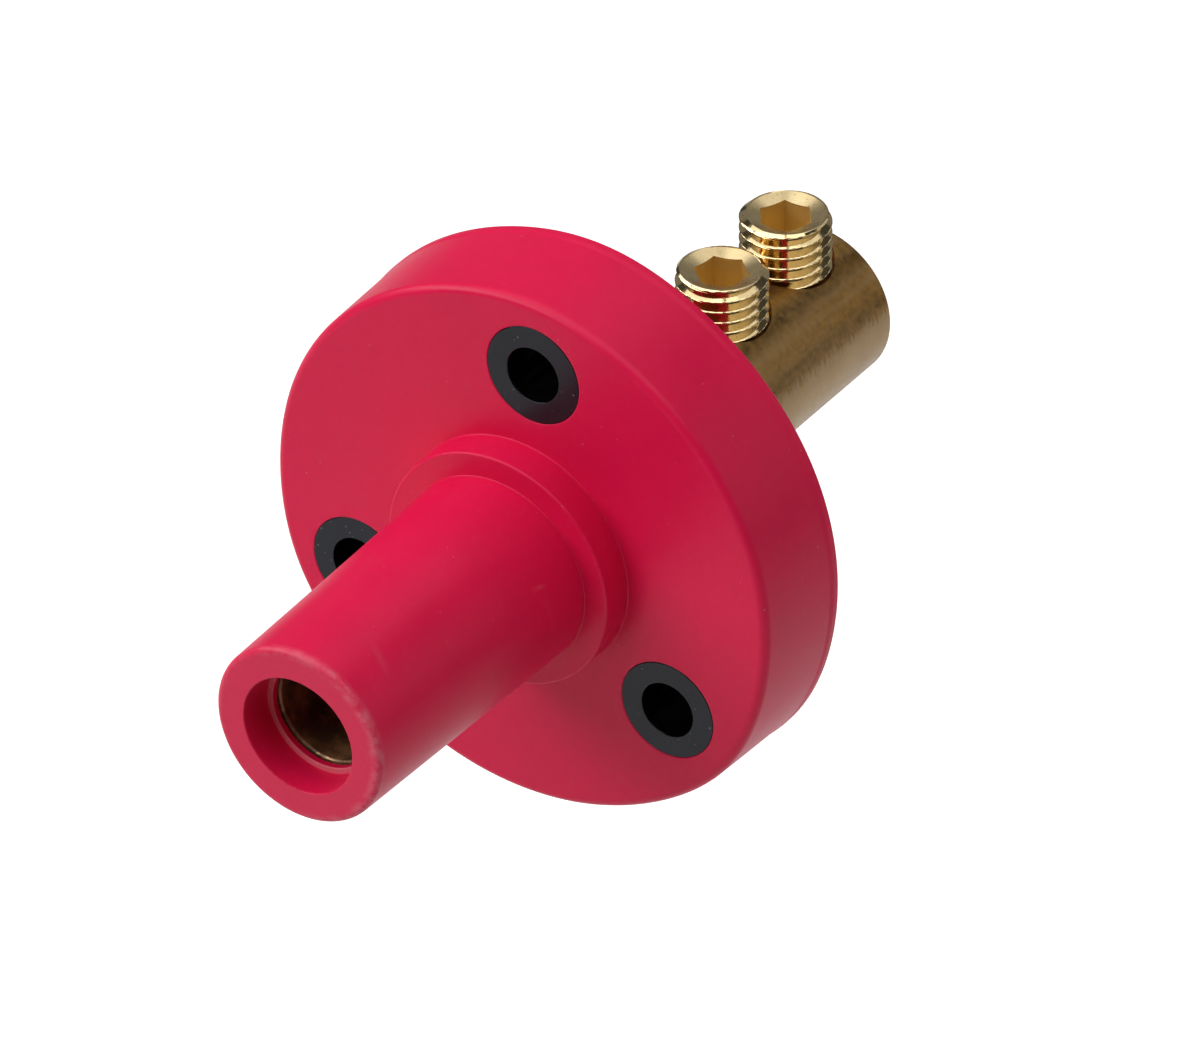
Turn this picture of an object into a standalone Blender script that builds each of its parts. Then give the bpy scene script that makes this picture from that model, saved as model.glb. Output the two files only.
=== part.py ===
"""A single-pole, round-flange panel receptacle.

A rubber insulator carries a turned brass contact: a plug socket in the nose and a cable barrel behind
the panel, closed by two clamping screws. Three hard bushes take the panel screws.

Metres, +Z up. The plug enters along +Y through the nose, the clamping screws stand along +Z, and the
origin is the centre of the flange's rear face, which lies against the panel.
"""

import math

import bmesh
import bpy
from mathutils import Matrix, Vector

# Clearance between the moulding and the metal inside it
MOULD_GAP = 0.0002

# Contact: plug socket, retaining flange with two flats, and cable barrel
SOCKET_RADIUS = 0.00464
SOCKET_WALL = 0.0016
SOCKET_DEPTH = 0.027
SOCKET_CHAMFER = 0.0001
SHOULDER_LENGTH = 0.0025
CABLE_BORE_RADIUS = 0.00476
CABLE_BORE_DEPTH = 0.0245
CABLE_BORE_CHAMFER = 0.0004
BARREL_WALL = 0.00266
BARREL_REACH = 0.03645
CONTACT_END_ROUND = 0.0003
RETAINER_STEP = 0.0019
RETAINER_WIDTH = 0.0035
RETAINER_SETBACK = 0.0042
RETAINER_FLAT_STEP = 0.0009
DRILL_POINT_HALF_ANGLE = math.radians(59)

# Clamping screws, backed out to let the cable in, and their countersunk holes
SCREW_RADIUS = 0.00408
SCREW_LENGTH = 0.00794
SCREW_SPACING = 0.01007
SCREW_END_MARGIN = 0.00565
SCREW_STANDS = {"set_screw_front": 0.00418, "set_screw_rear": 0.00449}
SCREW_TURNS = {"set_screw_front": math.radians(20), "set_screw_rear": math.radians(5)}
SCREW_TOP_CHAMFER = 0.0004
SCREW_TIP_CHAMFER = 0.0009
CROWN_RING_WIDTH = 0.0001
CROWN_ANGLE = math.radians(20)
HEX_ACROSS_FLATS = 0.00435
HEX_DEPTH = 0.004
THREAD_CLEARANCE = 0.00008
SCREW_SINK_DEPTH = 0.00015
SCREW_SINK_HALF_ANGLE = math.radians(41)

# Cross pin inside the socket, which the plug's cam groove turns under
PIN_RADIUS = 0.0012
PIN_PROJECTION = 0.0012
PIN_DEPTH = 0.014
PIN_SETBACK = 0.0002
PIN_GAP = 0.0001

# Bushes for the panel screws, on the circle that the panel is drilled to
BUSH_COUNT = 3
BUSH_CIRCLE_RADIUS = 0.0184
BUSH_CLOCK = math.radians(84.8)
BUSH_HOLE_RADIUS = 0.00258
BUSH_WALL = 0.00202
BUSH_CHAMFER = 0.0002
BUSH_GAP = 0.00015

# Boss behind the flange, which fills the panel's hole
BOSS_WALL = 0.00318
BOSS_LENGTH = 0.0048
BOSS_EDGE_ROUND = 0.0005
BOSS_FOOT_ROUND = 0.0006

# Flange, which reaches past the bushes by its rubber edge and swells outside each of them
EDGE_WALL = 0.0019
BUSH_SWELL = 0.0005
BUSH_SWELL_ANGLE = math.radians(20.5)
FLANGE_THICKNESS = 0.0106
FLANGE_DRAFT = 0.00018
FLANGE_EDGE_ROUND = 0.0012
RIM_STEP = 0.00027
RIM_WIDTH = 0.0008
RIM_FLARE = 0.0005
RIM_ROUND = 0.00024

# Collar and nose, which tapers towards its mouth
COLLAR_WALL = 0.00178
COLLAR_HEIGHT = 0.00325
COLLAR_EDGE_ROUND = 0.0004
COLLAR_FOOT_ROUND = 0.0004
NOSE_REACH = 0.03235
NOSE_BASE_WALL = 0.00266
NOSE_TIP_WALL = 0.00201
NOSE_EDGE_ROUND = 0.00055

# Mouth of the nose, and the thin lip that holds the contact's front end
MOUTH_STEP = 0.0008
MOUTH_DEPTH = 0.0034
MOUTH_EDGE_ROUND = 0.0002
LIP_THICKNESS = 0.0006
LIP_MARGIN = 0.0001

# How far a cutter runs past the face that it opens
OVERCUT = 0.002

INSULATOR_STEPS = 60
CONTACT_STEPS = 48
SCREW_STEPS = 36
BUSH_STEPS = 28
PIN_STEPS = 16

ALONG = Vector((0, 1, 0))
UP = Vector((0, 0, 1))

# Stations along the connector, from the nose to the cable end
FLANGE_FRONT = -FLANGE_THICKNESS
COLLAR_FRONT = FLANGE_FRONT - COLLAR_HEIGHT
NOSE_END = FLANGE_FRONT - NOSE_REACH
LIP_FRONT = NOSE_END + MOUTH_DEPTH
LIP_BACK = LIP_FRONT + LIP_THICKNESS
CONTACT_FRONT = LIP_BACK + MOULD_GAP
SOCKET_END = CONTACT_FRONT + SOCKET_DEPTH
RETAINER_BACK = -RETAINER_SETBACK
RETAINER_FRONT = RETAINER_BACK - RETAINER_WIDTH
CABLE_BORE_END = BARREL_REACH - CABLE_BORE_DEPTH
PIN_STATION = CONTACT_FRONT + PIN_DEPTH
SCREW_STATIONS = {
    "set_screw_front": BARREL_REACH - SCREW_END_MARGIN - SCREW_SPACING,
    "set_screw_rear": BARREL_REACH - SCREW_END_MARGIN,
}

# Radii, from the contact's bores outwards
SOCKET_OUTER_RADIUS = SOCKET_RADIUS + SOCKET_WALL
BARREL_RADIUS = CABLE_BORE_RADIUS + BARREL_WALL
RETAINER_RADIUS = BARREL_RADIUS + RETAINER_STEP
MOUTH_RADIUS = SOCKET_RADIUS + MOUTH_STEP
NOSE_TIP_RADIUS = SOCKET_OUTER_RADIUS + NOSE_TIP_WALL
NOSE_BASE_RADIUS = SOCKET_OUTER_RADIUS + NOSE_BASE_WALL
COLLAR_RADIUS = RETAINER_RADIUS + COLLAR_WALL
BOSS_RADIUS = RETAINER_RADIUS + BOSS_WALL
BUSH_RADIUS = BUSH_HOLE_RADIUS + BUSH_WALL
FLANGE_RADIUS = BUSH_CIRCLE_RADIUS + BUSH_RADIUS + EDGE_WALL


def clear_scene():
    for old in list(bpy.data.objects):
        bpy.data.objects.remove(old, do_unlink=True)


def material(name, colour, roughness, metallic):
    made = bpy.data.materials.new(name)
    made.use_nodes = True
    shader = made.node_tree.nodes["Principled BSDF"]
    shader.inputs["Base Color"].default_value = (*colour, 1.0)
    shader.inputs["Roughness"].default_value = roughness
    shader.inputs["Metallic"].default_value = metallic
    return made


def rounded_corner(before, corner, after, radius, steps):
    """Points of the arc that rounds one corner of an outline, or the corner itself where it isn't round."""
    to_before = (before - corner).normalized()
    to_after = (after - corner).normalized()
    half_angle = to_before.angle(to_after) / 2
    if radius <= 0 or half_angle > math.radians(89):
        return [corner]
    cut_back = radius / math.tan(half_angle)
    centre = corner + (to_before + to_after).normalized() * (radius / math.sin(half_angle))
    start = corner + to_before * cut_back - centre
    sweep = start.angle_signed(corner + to_after * cut_back - centre)
    return [centre + Matrix.Rotation(-sweep * i / steps, 2) @ start for i in range(steps + 1)]


def rounded_outline(corners, steps=3):
    """The outline through (radius, station) or (radius, station, rounding) corners, with its arcs."""
    places = [Vector(corner[:2]) for corner in corners]
    outline = []
    for i, corner in enumerate(corners):
        rounding = corner[2] if len(corner) == 3 else 0.0
        inner = 0 < i < len(corners) - 1
        if inner and rounding > 0:
            outline += rounded_corner(places[i - 1], places[i], places[i + 1], rounding, steps)
        else:
            outline.append(places[i])
    return outline


def add_object(name, mesh, surface=None):
    made = bpy.data.objects.new(name, mesh)
    bpy.context.scene.collection.objects.link(made)
    if surface:
        mesh.materials.append(surface)
        mesh.shade_smooth()
        mesh.set_sharp_from_angle(angle=math.radians(32))
    return made


def turned(name, outline, steps, axis, surface=None, closed=False):
    """A turned solid: the outline's (radius, station) points spun once round +Y or +Z.

    An open outline starts and ends on the axis. A closed one runs round a ring.
    """
    across = Vector((1, 0, 0))
    shape = bmesh.new()
    points = [shape.verts.new(across * p.x + axis * p.y) for p in outline]
    edges = [shape.edges.new(pair) for pair in zip(points, points[1:])]
    if closed:
        edges.append(shape.edges.new((points[-1], points[0])))
    bmesh.ops.spin(
        shape,
        geom=points + edges,
        axis=axis,
        angle=math.tau,
        steps=steps,
        use_merge=True,
    )
    bmesh.ops.remove_doubles(shape, verts=shape.verts, dist=1e-7)
    bmesh.ops.recalc_face_normals(shape, faces=shape.faces)
    mesh = bpy.data.meshes.new(name)
    shape.to_mesh(mesh)
    shape.free()
    return add_object(name, mesh, surface)


def prism(name, sides, corner_radius, low, high, first_corner=0.0):
    """An upright prism on a regular polygon, from one height to another along +Z."""
    shape = bmesh.new()
    ring = [
        shape.verts.new(
            (
                corner_radius * math.cos(first_corner + math.tau * i / sides),
                corner_radius * math.sin(first_corner + math.tau * i / sides),
                low,
            )
        )
        for i in range(sides)
    ]
    base = shape.faces.new(ring)
    risen = bmesh.ops.extrude_face_region(shape, geom=[base])["geom"]
    top = [item for item in risen if isinstance(item, bmesh.types.BMVert)]
    bmesh.ops.translate(shape, verts=top, vec=(0, 0, high - low))
    bmesh.ops.recalc_face_normals(shape, faces=shape.faces)
    mesh = bpy.data.meshes.new(name)
    shape.to_mesh(mesh)
    shape.free()
    return add_object(name, mesh)


def slab(name, half_width, front, back, half_height):
    """A block centred on the axis, as wide as the retaining flange is across its flats."""
    shape = bmesh.new()
    bmesh.ops.create_cube(shape, size=1.0)
    size = Matrix.Diagonal((2 * half_width, back - front, 2 * half_height, 1))
    place = Matrix.Translation((0, (front + back) / 2, 0))
    bmesh.ops.transform(shape, matrix=place @ size, verts=shape.verts)
    mesh = bpy.data.meshes.new(name)
    shape.to_mesh(mesh)
    shape.free()
    return add_object(name, mesh)


def combine(target, tool, operation):
    """Cuts or intersects the target with a tool, which stays in the scene as a hidden guide."""
    step = target.modifiers.new(tool.name, "BOOLEAN")
    step.operation = operation
    step.solver = "EXACT"
    step.object = tool
    tool.hide_render = True
    tool.display_type = "WIRE"


def bush_places():
    """Centres of the bushes on their circle, in the plane of the flange."""
    for i in range(BUSH_COUNT):
        turn = BUSH_CLOCK + math.tau * i / BUSH_COUNT
        yield i + 1, Vector((BUSH_CIRCLE_RADIUS * math.cos(turn), 0, BUSH_CIRCLE_RADIUS * math.sin(turn)))


def swell_round_bushes(flange):
    """The hard bushes press the flange's rubber edge outwards, in a smooth hump outside each of them."""
    for vertex in flange.data.vertices:
        outward = Vector((vertex.co.x, 0, vertex.co.z))
        if outward.length < BUSH_CIRCLE_RADIUS:
            continue
        swell = sum(math.exp(-((outward.angle(place) / BUSH_SWELL_ANGLE) ** 2)) for _, place in bush_places())
        vertex.co += outward.normalized() * (BUSH_SWELL * swell)


def contact_outside(gap, front, back, end_round):
    """Outer outline of the contact, grown by a gap, from the axis at its front to the axis at its back."""
    socket = SOCKET_OUTER_RADIUS + gap
    barrel = BARREL_RADIUS + gap
    retainer = RETAINER_RADIUS + gap
    return [
        (0.0, front),
        (socket, front, end_round),
        (socket, RETAINER_FRONT - gap - SHOULDER_LENGTH),
        (barrel, RETAINER_FRONT - gap),
        (retainer, RETAINER_FRONT - gap),
        (retainer, RETAINER_BACK + gap),
        (barrel, RETAINER_BACK + gap),
        (barrel, back, end_round),
        (0.0, back),
    ]


def cut_retainer_flats(target, name, gap):
    """Two flats on the retaining flange keep the contact from turning in the moulding."""
    half_width = BARREL_RADIUS + RETAINER_FLAT_STEP + gap
    reach = RETAINER_RADIUS + gap + OVERCUT
    front = NOSE_END - 2 * OVERCUT
    back = BARREL_REACH + 2 * OVERCUT
    combine(target, slab(name, half_width, front, back, reach), "INTERSECT")


def make_insulator(surface):
    wall_end = -(RIM_WIDTH + RIM_FLARE)
    wall_radius = FLANGE_RADIUS + FLANGE_DRAFT
    rim_radius = wall_radius + RIM_STEP
    outside = rounded_outline(
        [
            (0.0, NOSE_END),
            (NOSE_TIP_RADIUS, NOSE_END, NOSE_EDGE_ROUND),
            (NOSE_BASE_RADIUS, COLLAR_FRONT),
            (COLLAR_RADIUS, COLLAR_FRONT, COLLAR_EDGE_ROUND),
            (COLLAR_RADIUS, FLANGE_FRONT, COLLAR_FOOT_ROUND),
            (FLANGE_RADIUS, FLANGE_FRONT, FLANGE_EDGE_ROUND),
            (wall_radius, wall_end),
            (rim_radius, -RIM_WIDTH),
            (rim_radius, 0.0, RIM_ROUND),
            (BOSS_RADIUS, 0.0, BOSS_FOOT_ROUND),
            (BOSS_RADIUS, BOSS_LENGTH, BOSS_EDGE_ROUND),
            (0.0, BOSS_LENGTH),
        ]
    )
    insulator = turned("insulator_body", outside, INSULATOR_STEPS, ALONG, surface)
    swell_round_bushes(insulator)
    lip_radius = SOCKET_RADIUS + LIP_MARGIN
    mouth = rounded_outline(
        [
            (0.0, NOSE_END - OVERCUT),
            (MOUTH_RADIUS + MOUTH_EDGE_ROUND, NOSE_END - OVERCUT),
            (MOUTH_RADIUS + MOUTH_EDGE_ROUND, NOSE_END),
            (MOUTH_RADIUS, NOSE_END + MOUTH_EDGE_ROUND),
            (MOUTH_RADIUS, LIP_FRONT),
            (lip_radius, LIP_FRONT),
            (lip_radius, LIP_BACK + OVERCUT),
            (0.0, LIP_BACK + OVERCUT),
        ]
    )
    combine(insulator, turned("mouth_cutter", mouth, INSULATOR_STEPS, ALONG), "DIFFERENCE")
    cavity = rounded_outline(contact_outside(MOULD_GAP, LIP_BACK, BOSS_LENGTH + OVERCUT, 0.0))
    pocket = turned("contact_pocket", cavity, CONTACT_STEPS, ALONG)
    cut_retainer_flats(pocket, "pocket_flats", MOULD_GAP)
    combine(insulator, pocket, "DIFFERENCE")
    for number, place in bush_places():
        hole = rounded_outline(
            [
                (0.0, FLANGE_FRONT - OVERCUT),
                (BUSH_RADIUS + BUSH_GAP, FLANGE_FRONT - OVERCUT),
                (BUSH_RADIUS + BUSH_GAP, OVERCUT),
                (0.0, OVERCUT),
            ]
        )
        cutter = turned(f"bush_seat_{number}", hole, BUSH_STEPS, ALONG)
        cutter.location = place
        combine(insulator, cutter, "DIFFERENCE")
    return insulator


def blind_hole(name, radius, mouth, bottom, chamfer, steps):
    """A drilled hole along the connector: a chamfered mouth, a straight wall and a drill's point."""
    inward = math.copysign(1.0, bottom - mouth)
    point = bottom + inward * radius / math.tan(DRILL_POINT_HALF_ANGLE)
    outline = [
        Vector((0.0, mouth - inward * OVERCUT)),
        Vector((radius + chamfer + OVERCUT, mouth - inward * OVERCUT)),
        Vector((radius, mouth + inward * chamfer)),
        Vector((radius, bottom)),
        Vector((0.0, point)),
    ]
    return turned(name, outline, steps, ALONG)


def screw_hole(name):
    """A screw's tapped hole, with a countersink that just cleans the lowest part of its edge on the barrel."""
    radius = SCREW_RADIUS + THREAD_CLEARANCE
    sink = math.sqrt(BARREL_RADIUS**2 - radius**2) - SCREW_SINK_DEPTH
    top = BARREL_RADIUS + OVERCUT
    outline = [
        Vector((0.0, 0.0)),
        Vector((radius, 0.0)),
        Vector((radius, sink)),
        Vector((radius + (top - sink) * math.tan(SCREW_SINK_HALF_ANGLE), top)),
        Vector((0.0, top)),
    ]
    hole = turned(f"{name}_tap", outline, SCREW_STEPS, UP)
    hole.location = (0, SCREW_STATIONS[name], 0)
    return hole


def make_contact(surface):
    outside = rounded_outline(contact_outside(0.0, CONTACT_FRONT, BARREL_REACH, CONTACT_END_ROUND))
    contact = turned("contact_body", outside, CONTACT_STEPS, ALONG, surface)
    cut_retainer_flats(contact, "contact_flats", 0.0)
    socket = blind_hole(
        "socket_drill", SOCKET_RADIUS, CONTACT_FRONT, SOCKET_END, SOCKET_CHAMFER, CONTACT_STEPS
    )
    combine(contact, socket, "DIFFERENCE")
    cable = blind_hole(
        "cable_drill", CABLE_BORE_RADIUS, BARREL_REACH, CABLE_BORE_END, CABLE_BORE_CHAMFER, CONTACT_STEPS
    )
    combine(contact, cable, "DIFFERENCE")
    for name in SCREW_STATIONS:
        combine(contact, screw_hole(name), "DIFFERENCE")
    pin_hole = prism("pin_drill", PIN_STEPS, PIN_RADIUS + PIN_GAP, 0.0, SOCKET_OUTER_RADIUS + OVERCUT)
    pin_hole.location = (0, PIN_STATION, 0)
    combine(contact, pin_hole, "DIFFERENCE")
    return contact


def make_set_screw(name, surface):
    """A headless screw with a dished hexagon socket. Its origin is on its own axis, at the contact's axis."""
    top = BARREL_RADIUS + SCREW_STANDS[name]
    tip = top - SCREW_LENGTH
    crown_radius = SCREW_RADIUS - SCREW_TOP_CHAMFER - CROWN_RING_WIDTH
    outline = [
        Vector((0.0, tip)),
        Vector((SCREW_RADIUS - SCREW_TIP_CHAMFER, tip)),
        Vector((SCREW_RADIUS, tip + SCREW_TIP_CHAMFER)),
        Vector((SCREW_RADIUS, top - SCREW_TOP_CHAMFER)),
        Vector((SCREW_RADIUS - SCREW_TOP_CHAMFER, top)),
        Vector((crown_radius, top)),
        Vector((0.0, top - crown_radius * math.tan(CROWN_ANGLE))),
    ]
    screw = turned(name, outline, SCREW_STEPS, UP, surface)
    screw.location = (0, SCREW_STATIONS[name], 0)
    corner_radius = HEX_ACROSS_FLATS / 2 / math.cos(math.pi / 6)
    key = prism(f"{name}_hexagon", 6, corner_radius, top - HEX_DEPTH, top + OVERCUT, SCREW_TURNS[name])
    key.location = screw.location
    combine(screw, key, "DIFFERENCE")
    return screw


def make_cam_pin(surface):
    """A short pin pressed through the socket's wall, with its end standing into the bore."""
    inner = SOCKET_RADIUS - PIN_PROJECTION
    outer = SOCKET_OUTER_RADIUS - PIN_SETBACK
    outline = [Vector((0, inner)), Vector((PIN_RADIUS, inner)), Vector((PIN_RADIUS, outer)), Vector((0, outer))]
    pin = turned("cam_pin", outline, PIN_STEPS, UP, surface)
    pin.location = (0, PIN_STATION, 0)
    return pin


def make_bush(number, place, surface):
    outline = [
        Vector((BUSH_HOLE_RADIUS + BUSH_CHAMFER, FLANGE_FRONT)),
        Vector((BUSH_RADIUS - BUSH_CHAMFER, FLANGE_FRONT)),
        Vector((BUSH_RADIUS, FLANGE_FRONT + BUSH_CHAMFER)),
        Vector((BUSH_RADIUS, -BUSH_CHAMFER)),
        Vector((BUSH_RADIUS - BUSH_CHAMFER, 0.0)),
        Vector((BUSH_HOLE_RADIUS + BUSH_CHAMFER, 0.0)),
        Vector((BUSH_HOLE_RADIUS, -BUSH_CHAMFER)),
        Vector((BUSH_HOLE_RADIUS, FLANGE_FRONT + BUSH_CHAMFER)),
    ]
    bush = turned(f"mounting_bush_{number}", outline, BUSH_STEPS, ALONG, surface, closed=True)
    bush.location = place
    return bush


def main():
    clear_scene()
    red_rubber = material("red_rubber", (0.58, 0.012, 0.042), 0.5, 0.0)
    turned_brass = material("turned_brass", (0.42, 0.27, 0.12), 0.42, 1.0)
    bright_brass = material("bright_brass", (0.78, 0.52, 0.22), 0.18, 1.0)
    black_plastic = material("black_plastic", (0.012, 0.012, 0.014), 0.4, 0.0)
    make_insulator(red_rubber)
    make_contact(turned_brass)
    for name in SCREW_STATIONS:
        make_set_screw(name, bright_brass)
    make_cam_pin(turned_brass)
    for number, place in bush_places():
        make_bush(number, place, black_plastic)


main()
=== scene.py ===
"""Looks of a single-pole panel receptacle: red rubber moulded round a turned brass contact.

Each piece is a surface worked out on a grid of two parameters and carried by one body of the frame. Metres,
+Z up. The plug enters along +Y and the clamping screws stand along +Z.
"""

import math

import bpy
import numpy as np
from bpy.props import FloatProperty, FloatVectorProperty, IntProperty, PointerProperty
from mathutils import Matrix, Vector


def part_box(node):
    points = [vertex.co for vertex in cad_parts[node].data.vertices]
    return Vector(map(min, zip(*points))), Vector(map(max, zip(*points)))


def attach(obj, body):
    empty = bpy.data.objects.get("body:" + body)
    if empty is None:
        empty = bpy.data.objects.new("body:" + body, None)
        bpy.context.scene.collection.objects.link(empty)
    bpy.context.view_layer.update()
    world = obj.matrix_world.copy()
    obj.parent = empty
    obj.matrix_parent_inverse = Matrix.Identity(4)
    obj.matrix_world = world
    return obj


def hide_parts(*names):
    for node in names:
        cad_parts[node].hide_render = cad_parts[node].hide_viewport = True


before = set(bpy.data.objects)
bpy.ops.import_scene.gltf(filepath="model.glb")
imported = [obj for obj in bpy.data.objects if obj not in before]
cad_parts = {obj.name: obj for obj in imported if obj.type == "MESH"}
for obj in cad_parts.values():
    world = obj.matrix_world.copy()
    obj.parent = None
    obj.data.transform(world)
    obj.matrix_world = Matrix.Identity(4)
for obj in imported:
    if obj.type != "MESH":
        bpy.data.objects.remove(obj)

bl_info = {
    "name": "Panel receptacle",
    "version": (1, 0, 0),
    "blender": (4, 5, 0),
    "location": "3D View > Sidebar > Receptacle",
    "description": "Builds the rubber, brass and plastic pieces of a single-pole panel receptacle",
    "category": "Object",
}

CARRIER = "receptacle"
SCREW_BODIES = {"set_screw_front": "front_screw", "set_screw_rear": "rear_screw"}
BUSH_NODES = sorted(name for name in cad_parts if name.startswith("mounting_bush"))

# Places read from the frame
INSULATOR_LOW, INSULATOR_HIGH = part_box("insulator_body")
CONTACT_LOW, CONTACT_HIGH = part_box("contact_body")
PIN_LOW, PIN_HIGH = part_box("cam_pin")

# How far a cutter runs past the face that it opens
OVERCUT = 0.002

# The longest stretch of a turned section, before it is cut into equal shares
INSULATOR_STRETCH = 0.0015
CONTACT_STRETCH = 0.001
BUSH_STRETCH = 0.0008

# Faces around the cutters, the cross pin and the floor
SEAT_AROUND = 96
TAP_AROUND = 120
PIN_HOLE_AROUND = 48
PIN_AROUND = 64
FLOOR_AROUND = 96

# Rows of faces: in one turn of a tapped hole, on a screw's rounded upper edge and down its crown
TAP_ROWS = 26
EDGE_ROWS = 8
CROWN_ROWS = 14

# A thread's flanks lie this far from the horizontal, and a drill's point has this half angle in degrees
THREAD_FLANK = math.radians(30)
DRILL_POINT = 59

# How far above the connector's axis the tapped holes start, and the cross pin's clearance in its hole
TAP_START = 0.0018
PIN_GAP = 0.0001

# The stations between which the pocket in the rubber has its two flats
FLATS_FRONT, FLATS_BACK = -0.012, -0.002

# The station of the flange's front, where the bushes' front faces lie too
FLANGE_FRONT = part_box(BUSH_NODES[0])[0].y

# Painted shade: a deeper black put in the bushes' holes, and colour of dust
PAINTED_HOLE_SHADE = (0.002, 0.002, 0.002)
DUST = (0.3, 0.3, 0.3)

# Where the flash lies on the mouth's edge, as a turn from +X towards +Z, and how far it spreads
FLASH_TURN = math.radians(-103)
FLASH_SPREAD = math.radians(24)

# Faint rub marks on the nose: middle, direction, half length, half width and strength
RUB_MARKS = (
    ((0.0049, -0.0379, 0.0067), (0.77, -0.35, -0.57), 0.0010, 0.00035, 0.08),
    ((0.0084, -0.0184, 0.0000), (0.0, 0.13, -0.99), 0.0022, 0.00026, 0.12),
    ((0.0078, -0.0189, 0.0040), (0.14, 0.94, -0.25), 0.0009, 0.00018, 0.12),
)

# The lamps: two opposite corners across, away from the camera and up, in metres, and the radiance
SOFTBOXES = {
    "left_softbox": ((-1.3, -1.2, 0.45), (-1.3, 0.4, 0.95), 5.2),
    "left_rear_softbox": ((-1.3, 0.4, 0.45), (-1.3, 1.2, 0.95), 2.7),
    "top_left_softbox": ((-1.25, -0.75, 1.0), (-0.025, 0.0, 1.0), 2.2),
    "top_left_rear_softbox": ((-1.25, 0.0, 1.0), (-0.025, 0.75, 1.0), 1.25),
    "top_right_softbox": ((0.025, -0.75, 1.0), (0.75, 0.0, 1.0), 1.6),
    "top_right_rear_softbox": ((0.025, 0.0, 1.0), (0.75, 0.75, 1.0), 0.85),
    "top_far_softbox": ((-0.9, 0.76, 1.0), (0.9, 1.3, 1.0), 0.25),
    "right_fill": ((1.3, -1.2, 0.0), (1.3, 1.2, 0.95), 0.5),
    "far_fill": ((-1.0, 1.35, 0.15), (1.3, 1.35, 0.95), 0.15),
}


def length(name, default, description):
    return FloatProperty(
        name=name,
        description=description,
        default=default,
        min=0.0,
        precision=5,
        subtype="DISTANCE",
        unit="LENGTH",
    )


def angle(name, degrees, description):
    return FloatProperty(
        name=name,
        description=description,
        default=math.radians(degrees),
        precision=3,
        subtype="ANGLE",
        unit="ROTATION",
    )


def colour(name, default, description):
    return FloatVectorProperty(
        name=name, description=description, default=default, size=3, min=0.0, max=1.0, subtype="COLOR"
    )


def number(name, default, description):
    return FloatProperty(name=name, description=description, default=default)


def count(name, default, description):
    return IntProperty(name=name, description=description, default=default, min=6, max=512)


class InsulatorSettings(bpy.types.PropertyGroup):
    rubber_colour: colour("Rubber", (0.72, 0.006, 0.064), "Colour of the rubber")
    # The bloom colour paints the wear and rub marks, and also the painted highlight on the nose's edge and
    # the painted light on the lip.
    bloom_and_sheen_colour: colour("Bloom", (0.74, 0.28, 0.33), "Colour of the pale bloom and rub marks on the rubber")
    rim_radius: length("Rim radius", 0.02535, "Radius of the flange's rear rim between the bushes")
    swell: length("Swell", 0.0005, "How far a bush presses the flange's edge outwards")
    swell_spread: angle("Swell spread", 20.5, "How far round the flange such a swell spreads")
    edge_round: length("Flange edge", 0.0008, "Rounding of the flange's front edge")
    draft: length("Draft", 0.00035, "How much the flange widens from its front to its rear")
    rim_step: length("Rim step", 0.0001, "How far the rear rim stands out from the flange's wall")
    rim_width: length("Rim width", 0.0008, "Width of the rear rim")
    rim_flare: length("Rim flare", 0.0005, "Length of the slope that leads out to the rim")
    rim_round: length("Rim round", 0.0003, "Rounding of the rim's rear edge")
    collar_radius: length("Collar radius", 0.0111, "Radius of the collar round the nose")
    collar_height: length("Collar height", 0.00325, "How far the collar stands out of the flange")
    collar_edge: length("Collar edge", 0.00022, "Rounding of the collar's edge")
    collar_foot: length("Collar foot", 0.00012, "Fillet between the collar and the flange")
    nose_base: length("Nose base radius", 0.0089, "Radius of the nose where it leaves the collar")
    nose_tip: length("Nose tip radius", 0.00825, "Radius of the nose at its end")
    nose_edge: length("Nose edge", 0.00055, "Rounding of the nose's end")
    nose_foot: length("Nose foot", 0.00012, "Fillet between the nose and the collar")
    boss_radius: length("Boss radius", 0.0125, "Radius of the boss behind the flange")
    boss_edge: length("Boss edge", 0.0005, "Rounding of the boss's edge")
    boss_foot: length("Boss foot", 0.0006, "Fillet between the boss and the flange")
    mouth_radius: length("Mouth radius", 0.00544, "Radius of the opening in the nose")
    mouth_depth: length("Mouth depth", 0.0034, "Depth of the opening in front of the lip")
    mouth_edge: length("Mouth edge", 0.00012, "Rounding of the opening's edge")
    lip_radius: length("Lip radius", 0.00490, "Inner radius of the lip in front of the contact")
    lip_thickness: length("Lip thickness", 0.0006, "Thickness of the lip in front of the contact")
    mould_gap: length("Mould gap", 0.0002, "Clearance between the rubber and the contact")
    flash_height: length("Flash", 0.0001, "Raggedness of the flash on the lower part of the opening's edge")
    seat_gap: length("Seat gap", 0.00002, "Clearance between the rubber and a bush")
    seat_edge: length("Seat edge", 0.00008, "Rounding of the edge of a bush's seat")
    around: count("Steps around", 300, "Faces around the insulator")


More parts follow.
